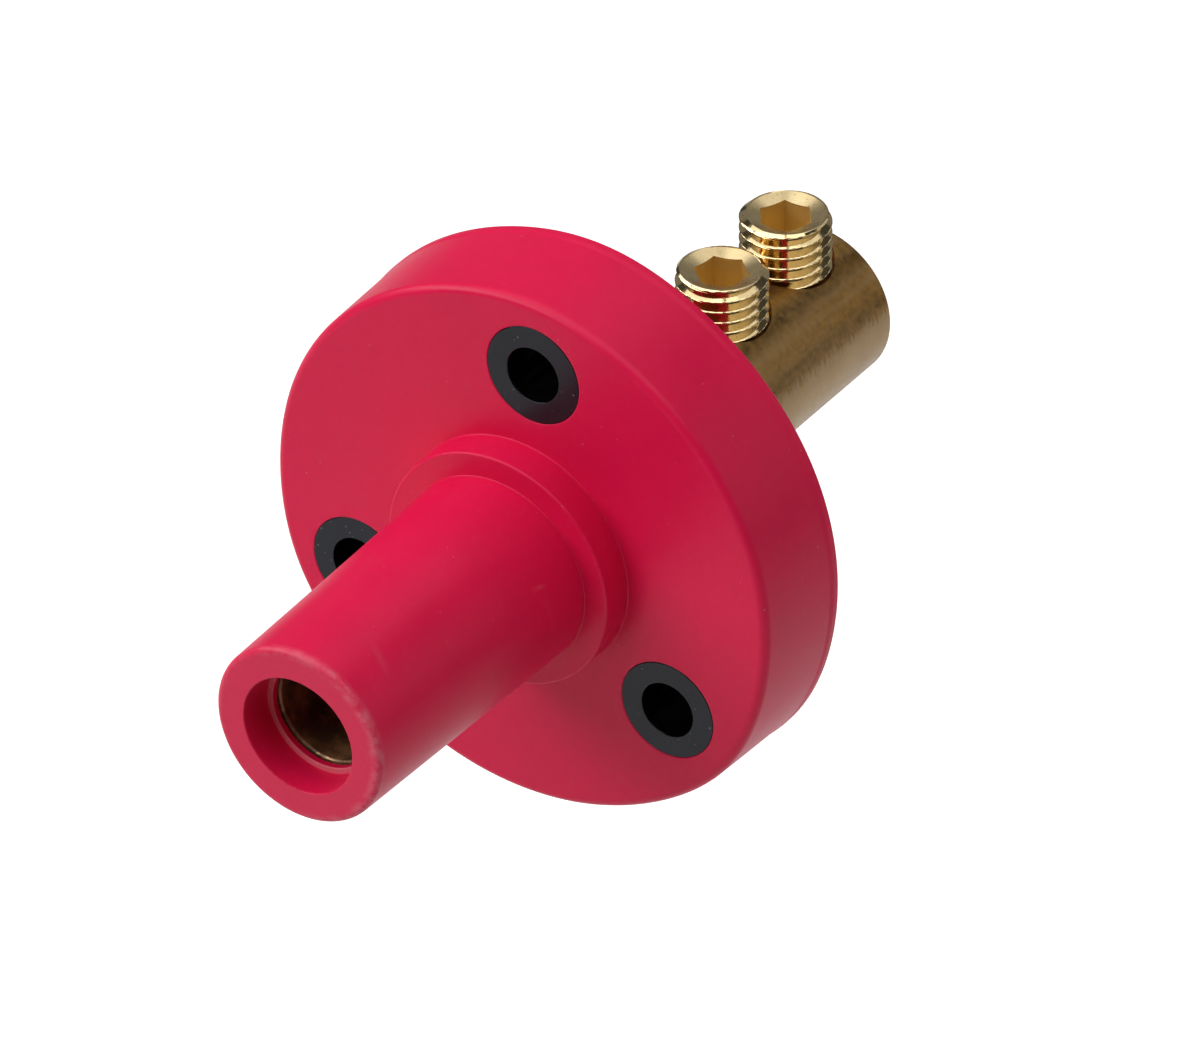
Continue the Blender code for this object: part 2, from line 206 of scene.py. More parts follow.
class ContactSettings(bpy.types.PropertyGroup):
    brass_colour: colour("Turned brass", (0.38, 0.205, 0.054), "Colour of the turned brass")
    # Painted reflection: a paler greyish colour for the streak highlights and the floor reflected in the
    # barrel.
    painted_reflection_colour: colour("Film", (0.43, 0.30, 0.165), "Colour of the paler, greyish film on the turned brass")
    # The tarnish colour serves the real tarnish in the bore and also the painted shade on the socket's mouth.
    tarnish_and_shade_colour: colour("Tarnish", (0.32, 0.17, 0.075), "Colour of the tarnished bore")
    pin_colour: colour("Pin brass", (0.60, 0.43, 0.22), "Colour of the cross pin")
    socket_radius: length("Socket radius", 0.00464, "Radius of the plug socket's bore")
    socket_wall: length("Socket wall", 0.0016, "Wall of the plug socket")
    socket_depth: length("Socket depth", 0.027, "Depth of the plug socket's straight bore")
    socket_chamfer: length("Socket chamfer", 0.00016, "Chamfer at the socket's mouth")
    shoulder: length("Shoulder", 0.0025, "Length of the cone from the socket out to the barrel")
    barrel_radius: length("Barrel radius", 0.00742, "Radius of the cable barrel")
    cable_radius: length("Cable bore radius", 0.00476, "Radius of the bore for the cable")
    cable_depth: length("Cable bore depth", 0.0245, "Depth of the cable's straight bore")
    cable_chamfer: length("Cable bore chamfer", 0.0004, "Chamfer at the cable bore's mouth")
    retainer_width: length("Retainer width", 0.0035, "Width of the retaining flange")
    retainer_setback: length("Retainer setback", 0.0042, "How far in front of the panel the flange ends")
    end_round: length("End round", 0.0003, "Rounding of the contact's ends")
    drill_point: angle("Drill point", DRILL_POINT, "Half angle of the drill's point")
    around: count("Steps around", 192, "Faces around the contact")


class ScrewSettings(bpy.types.PropertyGroup):
    brass_colour: colour("Bright brass", (0.86, 0.67, 0.36), "Colour of the polished brass")
    broach_colour: colour("Broached brass", (0.82, 0.60, 0.23), "Colour of the brass in the broached hexagon")
    pitch: length("Pitch", 0.0254 / 24, "Rise of the thread in one turn")
    crest_flat: number("Crest", 0.012, "Flat crest as a share of the pitch")
    crest_round: number("Crest round", 0.022, "Rounding beside the crest as a share of the pitch")
    root_round: number("Root", 0.16, "Half of the round root as a share of the pitch")
    front_start: number("Front start", 0.195, "Where the front thread starts, in turns")
    rear_start: number("Rear start", 0.246, "Where the rear thread starts, in turns")
    front_turn: angle("Front turn", 20, "Turn of the front screw's hexagon")
    rear_turn: angle("Rear turn", 5, "Turn of the rear screw's hexagon")
    top_chamfer: length("Top chamfer", 0.0004, "Chamfer of the screw's top")
    top_round: length("Top round", 0.00012, "Rounding of the chamfer's upper edge")
    tip_chamfer: length("Tip chamfer", 0.0009, "Chamfer of the screw's tip")
    ring_width: length("Ring width", 0.00014, "Width of the flat ring round the crown")
    crown_angle: angle("Crown", 20, "Slope of the dished crown")
    across_flats: length("Across flats", 0.00435, "Width of the hexagon across its flats")
    hexagon_depth: length("Hexagon depth", 0.004, "Depth of the hexagon")
    clearance: length("Thread clearance", 0.00006, "Clearance between the screw and its tapped hole")
    sink_depth: length("Countersink depth", 0.00006, "How far it reaches below the hole's lowest edge")
    sink_angle: angle("Countersink", 22, "Half angle of the countersink")
    around: count("Steps around", 162, "Faces around a screw")
    rows_per_turn: count("Rows per turn", 36, "Rows of faces in one turn of the thread")


class BushSettings(bpy.types.PropertyGroup):
    plastic_colour: colour("Black plastic", (0.005, 0.006, 0.011), "Colour of the bushes")
    dust_colour: colour("Paler plastic", (0.012, 0.014, 0.022), "Colour of the bushes' paler clouds")
    hole_radius: length("Hole radius", 0.00258, "Radius of the hole for the panel screw")
    edge: length("Edge", 0.00008, "Rounding of the bush's edges")
    around: count("Steps around", 96, "Faces around a bush")


class StageSettings(bpy.types.PropertyGroup):
    floor_colour: colour("Floor", (0.80, 0.80, 0.80), "Colour of the floor")
    floor_drop: length("Floor drop", 0.25, "How far the floor lies below the flange")
    floor_radius: length("Floor radius", 5.0, "Radius of the floor")
    fade_start: length("Fade start", 0.5, "How far from its middle the floor starts to show as white")
    fade_end: length("Fade end", 1.4, "How far from its middle the floor is white by itself")
    floor_lift: number("Floor lift", 0.6, "Light that tops the lit floor up to white")
    floor_gleam: number("Floor gleam", 0.14, "Light that tops the floor up in reflections")
    camera_place: FloatVectorProperty(
        name="Camera place",
        description="Where the camera stands",
        default=(0.39549, -0.58444, 0.47664),
        subtype="XYZ_LENGTH",
        unit="LENGTH",
        precision=5,
    )
    camera_turn: FloatVectorProperty(
        name="Camera turn",
        description="The camera's rotation about X, Y and Z",
        default=(math.radians(55.740), math.radians(0.306), math.radians(33.799)),
        subtype="EULER",
        unit="ROTATION",
        precision=5,
    )
    camera_lens: FloatProperty(
        name="Lens", description="Focal length on a 36 mm wide sensor", default=300.0, unit="CAMERA"
    )
    world_colour: colour("Surroundings", (0.05, 0.05, 0.05), "Colour of the surroundings")


def turns_round(around):
    """Equal turns round a circle, from 0."""
    return np.arange(around) * math.tau / around


def darker(tint, share):
    return tuple(value * share for value in tint)


def rounded_profile(corners, steps=8, closed=False, support=0.00003):
    """A profile through corners (radius, station) or (radius, station, rounding).

    A corner P with unit directions a and b to its neighbours and the half angle h between them gets an arc
    of its rounding R about P + (a + b) / |a + b| * R / sin h, swept from its tangent point on one side to
    that on the other. A support point stands a little way off each end of the arc, so that the flats stay
    flat in shading.
    """
    table = np.array([(*corner, 0.0)[:3] for corner in corners])
    places, roundings = table[:, :2], table[:, 2]
    pieces = []
    for i, (corner, radius) in enumerate(zip(places, roundings)):
        if radius <= 0 or (not closed and i in (0, len(places) - 1)):
            pieces.append(corner[None])
            continue
        a = places[i - 1] - corner
        b = places[(i + 1) % len(places)] - corner
        a, b = a / np.linalg.norm(a), b / np.linalg.norm(b)
        half = math.acos(np.clip(a @ b, -1, 1)) / 2
        cut_back = radius / math.tan(half)
        centre = corner + (a + b) / np.linalg.norm(a + b) * radius / math.sin(half)
        first, last = corner + a * cut_back - centre, corner + b * cut_back - centre
        sweep = math.pi - 2 * half
        share = np.linspace(0, 1, steps + 1)[:, None]
        arc = centre + (np.sin((1 - share) * sweep) * first + np.sin(share * sweep) * last) / math.sin(sweep)
        before, after = corner + a * (cut_back + support), corner + b * (cut_back + support)
        pieces += [before[None], arc, after[None]]
    return np.concatenate(pieces)


def filled_profile(profile, longest, closed=False):
    """The profile with each run longer than the given length cut into equal shares."""
    ends = np.roll(profile, -1, axis=0) if closed else profile[1:]
    starts = profile if closed else profile[:-1]
    shares = np.maximum(np.ceil(np.linalg.norm(ends - starts, axis=1) / longest), 1).astype(int)
    run = np.repeat(np.arange(len(starts)), shares)
    step = (np.arange(len(run)) - np.repeat(np.cumsum(shares) - shares, shares)) / shares[run]
    filled = starts[run] + (ends - starts)[run] * step[:, None]
    return filled if closed else np.concatenate([filled, profile[-1:]])


def turned_grid(profile, around):
    """Grid of points (r cos t, y, r sin t): the profile's radius r and station y carried round by turns t."""
    turn = turns_round(around)
    radius, station = profile[:, :1], profile[:, 1:]
    return np.stack([radius * np.cos(turn), station + 0 * turn, radius * np.sin(turn)], axis=-1)


def grid_mesh(name, grid, ring=False, tone=None):
    """A closed mesh on a grid of rows and columns.

    The columns close round on themselves. The rows close too where ring is true, and otherwise the first
    and last row are each a single point on the axis. The faces are turned to point out of the enclosed
    volume. A tone for each point of the grid is kept as a point attribute, for the finish.
    """
    rows, columns = grid.shape[:2]
    index = np.arange(rows * columns).reshape(rows, columns)
    points = grid.reshape(-1, 3)
    if not ring:
        index = np.maximum(index - columns + 1, 0)
        index[-1] = (rows - 2) * columns + 1
        points = np.concatenate([grid[0, :1], grid[1:-1].reshape(-1, 3), grid[-1, :1]])
        tone = None if tone is None else np.concatenate([tone[0, :1], tone[1:-1].ravel(), tone[-1, :1]])
    upper = np.roll(index, -1, axis=0) if ring else index[1:]
    lower = index if ring else index[:-1]
    quads = np.stack([lower, np.roll(lower, -1, axis=1), np.roll(upper, -1, axis=1), upper], axis=-1)
    first, middle, last = [], quads.reshape(-1, 4), []
    if not ring:
        first, middle, last = quads[0][:, [0, 2, 3]], quads[1:-1].reshape(-1, 4), quads[-1][:, [0, 1, 2]]
    corners = points[middle]
    volume = np.einsum("ij,ij->", corners[:, 0], np.cross(corners[:, 1], corners[:, 2]))
    volume += np.einsum("ij,ij->", corners[:, 0], np.cross(corners[:, 2], corners[:, 3]))
    faces = [face for part in (first, middle, last) if len(part) for face in part.tolist()]
    mesh = bpy.data.meshes.new(name)
    mesh.from_pydata(points.tolist(), [], faces)
    if volume < 0:
        mesh.flip_normals()
    if tone is not None:
        mesh.attributes.new("tone", "FLOAT", "POINT").data.foreach_set("value", tone.ravel())
    return mesh


def add_object(name, mesh, finish=None, sharp=32):
    made = bpy.data.objects.new(name, mesh)
    bpy.context.scene.collection.objects.link(made)
    if finish:
        mesh.materials.clear()
        mesh.materials.append(finish)
        mesh.shade_smooth()
        mesh.set_sharp_from_angle(angle=math.radians(sharp))
    return made


def cut(mesh, cutters):
    """The mesh with each of the other closed meshes taken out of it."""
    target = add_object(mesh.name, mesh)
    tools = [add_object(cutter.name, cutter) for cutter in cutters]
    for tool in tools:
        step = target.modifiers.new(tool.name, "BOOLEAN")
        step.operation = "DIFFERENCE"
        step.solver = "EXACT"
        step.object = tool
    bpy.context.view_layer.update()
    graph = bpy.context.evaluated_depsgraph_get()
    result = bpy.data.meshes.new_from_object(target.evaluated_get(graph))
    for made in (target, *tools):
        old = made.data
        bpy.data.objects.remove(made)
        bpy.data.meshes.remove(old)
    return result


def moved(mesh, place):
    mesh.transform(Matrix.Translation(place))
    return mesh


def add_piece(name, mesh, finish, body, nodes, sharp=32):
    """A finished piece: it rides on a body, stands for frame nodes and takes its slot's finish."""
    piece = add_object(name, mesh, finish, sharp)
    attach(piece, body)
    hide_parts(*nodes)
    return piece


def upright_axis(low, high):
    """The foot of the upright axis through the middle of a box."""
    return Vector(((low.x + high.x) / 2, (low.y + high.y) / 2, 0.0))


def bush_centre(node):
    low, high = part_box(node)
    middle = (low + high) / 2
    return Vector((middle.x, 0.0, middle.z))


def insulator_profile(s):
    """The moulding's whole section as one ring: outside from the nose to the boss, then back inside."""
    nose_end, boss_end = INSULATOR_LOW.y, INSULATOR_HIGH.y
    rim = s.rim_radius
    wall = rim - s.rim_step
    collar_front = FLANGE_FRONT - s.collar_height
    lip_front = nose_end + s.mouth_depth
    lip_back = lip_front + s.lip_thickness
    outside = [
        (s.nose_tip, nose_end, s.nose_edge),
        (s.nose_base, collar_front, s.nose_foot),
        (s.collar_radius, collar_front, s.collar_edge),
        (s.collar_radius, FLANGE_FRONT, s.collar_foot),
        (wall - s.draft, FLANGE_FRONT, s.edge_round),
        (wall, -(s.rim_width + s.rim_flare), s.rim_flare / 2),
        (rim, -s.rim_width, s.rim_round),
        (rim, 0.0, s.rim_round),
        (s.boss_radius, 0.0, s.boss_foot),
        (s.boss_radius, boss_end, s.boss_edge),
    ]
    contact = bpy.context.scene.receptacle_contact
    pocket = contact_outside(contact, s.mould_gap, lip_back, boss_end)[::-1]
    mouth = [
        (s.lip_radius, lip_back),
        (s.lip_radius, lip_front, s.lip_thickness / 5),
        (s.mouth_radius, lip_front, s.mouth_edge / 2),
        (s.mouth_radius, nose_end, s.mouth_edge),
    ]
    return [*outside, *pocket, *mouth]


def contact_outside(s, gap, front, back, end_round=0.0):
    """Outer corners of the contact, grown by a gap, from its front end to its back end."""
    socket = s.socket_radius + s.socket_wall + gap
    barrel = s.barrel_radius + gap
    retainer = CONTACT_HIGH.z + gap
    retainer_back = -s.retainer_setback + gap
    retainer_front = -s.retainer_setback - s.retainer_width - gap
    return [
        (socket, front, end_round),
        (socket, retainer_front - s.shoulder),
        (barrel, retainer_front),
        (retainer, retainer_front),
        (retainer, retainer_back),
        (barrel, retainer_back),
        (barrel, back, end_round),
    ]


def clip_flats(grid, half_width):
    """Two flats: along +X and -X no point stands further out than half the width."""
    reach = np.abs(grid[..., 0])
    share = np.minimum(1.0, half_width / np.maximum(reach, 1e-9))
    grid[..., 0] *= share
    return grid


def swell_flange(s, grid):
    """The flange's edge pressed outwards by the bushes.

    A point moves out from the axis by swell * share * the sum over the bushes of exp(-(angle / spread)^2),
    where the angle is that between the point and the bush, seen along the axis. The share rises from 0 at
    the bushes' circle to 1 where the flange's edge rounding starts.
    """
    radius, turn = np.hypot(grid[..., 0], grid[..., 2]), np.arctan2(grid[..., 2], grid[..., 0])
    bushes = [bush_centre(node) for node in BUSH_NODES]
    circle = math.hypot(bushes[0].x, bushes[0].z)
    edge = s.rim_radius - s.rim_step - s.draft - s.edge_round
    share = np.clip((radius - circle) / (edge - circle), 0, 1)
    off = turn - np.array([math.atan2(bush.z, bush.x) for bush in bushes])[:, None, None]
    off = np.mod(off + math.pi, math.tau) - math.pi
    swell = s.swell * share * np.exp(-((off / s.swell_spread) ** 2)).sum(axis=0)
    grid[..., ::2] *= (1 + swell / np.maximum(radius, 1e-9))[..., None]


def add_flash(s, grid):
    """Ragged flash: the mouth's edge moves in by 2 * its height * window * |mean of three sines of the turn|.

    The window is a bell over the turn, centred on the lower part of the edge. Only points on the edge's
    rounding move, and the more the closer they lie to the nose's end.
    """
    radius, turn = np.hypot(grid[..., 0], grid[..., 2]), np.arctan2(grid[..., 2], grid[..., 0])
    near = np.clip(1 - (grid[..., 1] - INSULATOR_LOW.y) / s.mouth_edge, 0, 1)
    near *= np.abs(radius - s.mouth_radius) < 2 * s.mouth_edge
    window = np.exp(-(((turn - FLASH_TURN) / FLASH_SPREAD) ** 4))
    wave = (np.sin(43 * turn) + np.sin(67 * turn + 1.3) + np.sin(94 * turn + 0.4)) / 3
    inwards = s.flash_height * near * window * np.abs(wave) * 2
    grid[..., ::2] *= (1 - inwards / np.maximum(radius, 1e-9))[..., None]


def make_insulator_mesh(s):
    """The moulding: its closed section turned about +Y, with swells, flats in the pocket and three seats."""
    section = rounded_profile(insulator_profile(s), closed=True)
    section = filled_profile(section, INSULATOR_STRETCH, closed=True)
    grid = turned_grid(section, s.around)
    swell_flange(s, grid)
    add_flash(s, grid)
    radius, station = section[:, 0], section[:, 1]
    pocket = (radius < CONTACT_HIGH.z + s.mould_gap + 1e-6) & (station > FLATS_FRONT) & (station < FLATS_BACK)
    grid[pocket] = clip_flats(grid[pocket], CONTACT_HIGH.x + s.mould_gap)
    body = grid_mesh("insulator", grid, ring=True)
    return cut(body, [bush_seat(s, node) for node in BUSH_NODES])


def bush_seat(s, node):
    """A seat's cutter: a straight bore that flares out by a quarter circle to the flange's face."""
    low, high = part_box(node)
    radius = (high.x - low.x) / 2 + s.seat_gap
    flare = s.seat_edge
    lean = np.linspace(0, math.pi / 2, 6)
    bend = [radius + flare - flare * np.sin(lean), FLANGE_FRONT + flare - flare * np.cos(lean)]
    start = [(0.0, FLANGE_FRONT - OVERCUT), (radius + flare, FLANGE_FRONT - OVERCUT)]
    end = [(radius, OVERCUT), (0.0, OVERCUT)]
    profile = np.concatenate([start, np.stack(bend, axis=1), end])
    return moved(grid_mesh(f"{node}_seat", turned_grid(profile, SEAT_AROUND)), bush_centre(node))


def make_contact_mesh(s, screws):
    """The contact: one profile from the socket's bottom over the outside to the cable bore's bottom."""
    front, back = CONTACT_LOW.y, CONTACT_HIGH.y
    slope = 1 / math.tan(s.drill_point)
    socket_end, cable_end = front + s.socket_depth, back - s.cable_depth
    corners = [
        (0.0, socket_end + s.socket_radius * slope),
        (s.socket_radius, socket_end),
        (s.socket_radius, front + s.socket_chamfer, s.socket_chamfer),
        (s.socket_radius + s.socket_chamfer, front, s.socket_chamfer / 4),
        *contact_outside(s, 0.0, front, back, s.end_round),
        (s.cable_radius + s.cable_chamfer, back, s.cable_chamfer / 4),
        (s.cable_radius, back - s.cable_chamfer, s.cable_chamfer / 4),
        (s.cable_radius, cable_end),
        (0.0, cable_end - s.cable_radius * slope),
    ]
    profile = filled_profile(rounded_profile(corners, support=0.00002), CONTACT_STRETCH)
    grid = clip_flats(turned_grid(profile, s.around), CONTACT_HIGH.x)
    body = grid_mesh("contact", grid)
    cutters = [tapped_hole(screws, s.barrel_radius, node) for node in SCREW_BODIES]
    cutters.append(pin_hole(s))
    return cut(body, cutters)


def upright_grid(radius, height, turn, centre):
    """Grid of points on an upright axis: radius and height, as rows by columns, carried round by turns."""
    across, along = radius * np.cos(turn), radius * np.sin(turn)
    return np.stack([centre.x + across, centre.y + along, centre.z + height + 0 * across], axis=-1)


def pin_hole(s):
    """The cutter of the cross pin's hole: a cylinder from the connector's axis out past the socket's wall."""
    radius = (PIN_HIGH.x - PIN_LOW.x) / 2 + PIN_GAP
    top = s.socket_radius + s.socket_wall + OVERCUT
    rows = np.array([(0.0, 0.0), (radius, 0.0), (radius, top), (0.0, top)])
    turn = turns_round(PIN_HOLE_AROUND)
    grid = upright_grid(rows[:, :1] + 0 * turn, rows[:, 1:], turn, upright_axis(PIN_LOW, PIN_HIGH))
    return grid_mesh("pin_hole", grid)


def thread_radius(s, crest, turn, height, start):
    """Radius of a right-handed 60 degree thread.

    The share of a turn from the nearest crest is that of height / pitch - turn / 360 - start to the nearest
    whole number. Over that share the surface falls below the crest's radius: not at all on the flat crest,
    then along a parabola, then straight at 30 degrees from the horizontal, and along a second parabola in
    the root.
    """
    wave = height / s.pitch - turn / math.tau - start
    away = np.abs(wave - np.round(wave))
    flat, bent, root = s.crest_flat / 2, s.crest_flat / 2 + s.crest_round, 0.5 - s.root_round
    straight = away - (flat + bent) / 2
    crest_fall = np.maximum(away - flat, 0) ** 2 / (2 * s.crest_round)
    root_fall = (0.5 + root) / 2 - (flat + bent) / 2 - (0.5 - away) ** 2 / (2 * s.root_round)
    fall = np.select([away < bent, away < root], [crest_fall, straight], root_fall)
    return crest - s.pitch / math.tan(THREAD_FLANK) * fall


def screw_place(node):
    """The screw's axis, crest radius, tip and top, from its node."""
    low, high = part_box(node)
    return upright_axis(low, high), (high.x - low.x) / 2, low.z, high.z


def screw_start(s, node):
    return s.front_start if node.endswith("front") else s.rear_start


def tapped_hole(s, barrel, node):
    """The tapped hole's cutter: the screw's own thread, grown by the clearance, or the countersink's cone.

    The cone has the hole's radius + (height - sink) * tan(its half angle), where the sink lies just below the
    lowest point of the hole's edge on a barrel of the given radius.
    """
    centre, crest, _, _ = screw_place(node)
    turn = turns_round(TAP_AROUND)
    hole = crest + s.clearance
    sink = math.sqrt(barrel**2 - hole**2) - s.sink_depth
    top = barrel + OVERCUT
    rows = int((top - TAP_START) / s.pitch * TAP_ROWS)
    height = np.linspace(TAP_START, top, rows)[:, None] + 0 * turn
    radius = thread_radius(s, hole, turn, height, screw_start(s, node))
    radius = np.where(height > sink, hole + (height - sink) * math.tan(s.sink_angle), radius)
    height = np.concatenate([height[:1], height, height[-1:]])
    radius = np.concatenate([0 * radius[:1], radius, 0 * radius[:1]])
    return grid_mesh(f"{node}_tap", upright_grid(radius, height, turn, centre))


def make_screw_mesh(s, node):
    """A headless screw as one surface: tip, thread, rounded top, dished crown, hexagon walls and floor.

    The outer rows take the smallest of the thread's radius, the tip's cone, the top's cone and the arc that
    rounds its upper edge, at that height. The crown's rows run from its ring to the hexagon, whose radius at
    turn t is half the width across flats / cos(t'), with t' the turn from the nearest flat's middle. They
    fall with the crown's slope. The tone is 0.5 on the crown and 1 on the hexagon's walls and floor.
    """
    centre, crest, tip, top = screw_place(node)
    first = s.front_turn if node.endswith("front") else s.rear_turn
    turn = first + turns_round(s.around)
    rows = int(round((top - tip) / s.pitch * s.rows_per_turn))
    lean = np.linspace(math.pi / 4, 0, EDGE_ROWS)
    bend = s.top_round * (1 - math.cos(math.pi / 4))
    straight = np.linspace(tip, top - bend, rows)[:-1]
    height = np.concatenate([straight, top - s.top_round * (1 - np.cos(lean))])[:, None] + 0 * turn
    below = top - height
    rim = crest - s.top_chamfer - s.top_round * math.tan(math.pi / 8)
    arc = rim + np.sqrt(np.maximum(s.top_round**2 - (s.top_round - below) ** 2, 0))
    limit = np.where(below < bend, arc, crest - s.top_chamfer + below)
    limit = np.minimum(crest - s.tip_chamfer + (height - tip), limit)
    outer = np.minimum(thread_radius(s, crest, turn, height, screw_start(s, node)), limit)
    facet = np.mod(turn - first, math.pi / 3) - math.pi / 6
    hexagon = s.across_flats / 2 / np.cos(facet)
    dish_edge = rim - s.ring_width
    share = np.linspace(0, 1, CROWN_ROWS)[:, None]
    dish = dish_edge + (hexagon - dish_edge) * share
    dish_height = top - (dish_edge - dish) * math.tan(s.crown_angle)
    floor = top - s.hexagon_depth
    wall_share = np.array([0.01, 0.03, 0.2, 0.4, 0.6, 0.8, 1.0])[:, None]
    wall_height = dish_height[-1] + (floor - dish_height[-1]) * wall_share
    wall = hexagon + 0 * wall_share
    inner_share = np.array([0.6, 0.25, 0.0])[:, None]
    radius = np.concatenate([0 * outer[:1], outer[:1] * 0.5, outer, dish, wall, hexagon * inner_share])
    drop = (1 - inner_share) * s.across_flats / 2 / math.tan(math.radians(DRILL_POINT))
    bottom = floor - drop + 0 * turn
    height = np.concatenate([height[:1], height[:1], height, dish_height, wall_height, bottom])
    tone = np.zeros(radius.shape)
    tone[-len(dish) - len(wall) - len(inner_share) :] = 0.5
    tone[-len(wall) - len(inner_share) + 1 :] = 1
    return grid_mesh(node, upright_grid(radius, height, turn, centre), tone=tone)


def make_pin_mesh():
    """The cross pin: a cylinder whose inner end is rounded more than its outer one."""
    low, high = PIN_LOW, PIN_HIGH
    radius = (high.x - low.x) / 2
    corners = [(0.0, low.z), (radius, low.z, 0.0003), (radius, high.z, 0.0001), (0.0, high.z)]
    profile = rounded_profile(corners)
    turn = turns_round(PIN_AROUND)
    grid = upright_grid(profile[:, :1] + 0 * turn, profile[:, 1:], turn, upright_axis(low, high))
    return grid_mesh("cam_pin", grid)


def make_bush_mesh(s, node):
    """A bush: a closed ring section with rounded edges, turned about +Y. The tone is 1 in its hole."""
    low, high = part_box(node)
    outer = (high.x - low.x) / 2
    corners = [
        (s.hole_radius, low.y, s.edge),
        (outer, low.y, s.edge),
        (outer, high.y, s.edge),
        (s.hole_radius, high.y, s.edge),
    ]
    section = filled_profile(rounded_profile(corners, closed=True), BUSH_STRETCH, closed=True)
    tone = (section[:, :1] < s.hole_radius + s.edge / 3) + np.zeros(s.around)
    return moved(grid_mesh(node, turned_grid(section, s.around), True, tone), bush_centre(node))


def add_node(tree, kind, sockets=None, **settings):
    """A shader node with its settings, and its sockets set to values or joined to other nodes' outputs."""
    made = tree.nodes.new("ShaderNode" + kind)
    for name, value in settings.items():
        setattr(made, name, value)
    for name, value in (sockets or {}).items():
        if isinstance(value, bpy.types.NodeSocket):
            tree.links.new(value, made.inputs[name])
        else:
            made.inputs[name].default_value = value
    return made


def new_finish(name):
    """An empty surface: its node tree, its shader and the object's own coordinates."""
    finish = bpy.data.materials.new(name)
    finish.use_nodes = True
    tree = finish.node_tree
    shader = tree.nodes["Principled BSDF"]
    place = add_node(tree, "TexCoord").outputs["Object"]
    return finish, tree, shader, place


def noise(tree, place, scale, detail=2.0, roughness=0.5):
    sockets = {"Vector": place, "Scale": scale, "Detail": detail, "Roughness": roughness}
    return add_node(tree, "TexNoise", sockets).outputs["Fac"]


def remap(tree, value, low, high, to_low=0.0, to_high=1.0):
    sockets = {"Value": value, "From Min": low, "From Max": high, "To Min": to_low, "To Max": to_high}
    return add_node(tree, "MapRange", sockets).outputs["Result"]


def mix_colour(tree, share, first, second):
    made = add_node(tree, "Mix", data_type="RGBA")
    for socket, value in ((0, share), (6, first), (7, second)):
        if isinstance(value, bpy.types.NodeSocket):
            tree.links.new(value, made.inputs[socket])
        elif socket == 0:
            made.inputs[socket].default_value = value
        else:
            made.inputs[socket].default_value = (*value, 1.0)
    return made.outputs[2]


def combine(tree, operation, first, second):
    made = add_node(tree, "Math", {0: first, 1: second}, operation=operation)
    return made.outputs[0]


def times(tree, first, second):
    return combine(tree, "MULTIPLY", first, second)


def larger(tree, first, second):
    return combine(tree, "MAXIMUM", first, second)


def bump(tree, height, depth, normal=None):
    sockets = {"Height": height, "Distance": depth, "Strength": 1.0}
    if normal:
        sockets["Normal"] = normal
    return add_node(tree, "Bump", sockets).outputs["Normal"]


def join(tree, shader, **sockets):
    for name, value in sockets.items():
        socket = shader.inputs[name.replace("_", " ")]
        if isinstance(value, bpy.types.NodeSocket):
            tree.links.new(value, socket)
        else:
            socket.default_value = value


def round_the_axis(tree, place):
    """Distance of each point from the connector's axis, and its station along that axis."""
    parts = add_node(tree, "SeparateXYZ", {0: place}).outputs
    flat = add_node(tree, "CombineXYZ", {"X": parts["X"], "Z": parts["Z"]}).outputs[0]
    return add_node(tree, "VectorMath", {0: flat}, operation="LENGTH").outputs["Value"], parts["Y"]


def stretched_noise(tree, place, scales, detail=2.0, roughness=0.5):
    """Noise with a scale of its own along X, Y and Z."""
    stretched = add_node(tree, "Mapping", {"Vector": place, "Scale": scales}).outputs["Vector"]
    return noise(tree, stretched, 1.0, detail, roughness)


def rub_mark(tree, place, middle, direction, half_length, half_width, strength):
    """A soft streak: strength * exp(-(distance along / half length)^2 - (distance off / half width)^2)."""
    off = add_node(tree, "VectorMath", {0: place, 1: middle}, operation="SUBTRACT").outputs[0]
    along = add_node(tree, "VectorMath", {0: off, 1: direction}, operation="DOT_PRODUCT").outputs["Value"]
    whole = add_node(tree, "VectorMath", {0: off, 1: off}, operation="DOT_PRODUCT").outputs["Value"]
    spare = times(tree, along, along)
    spare = times(tree, spare, 1 / half_width**2 - 1 / half_length**2)
    power = combine(tree, "SUBTRACT", spare, times(tree, whole, 1 / half_width**2))
    return times(tree, combine(tree, "EXPONENT", power, 0.0), strength)


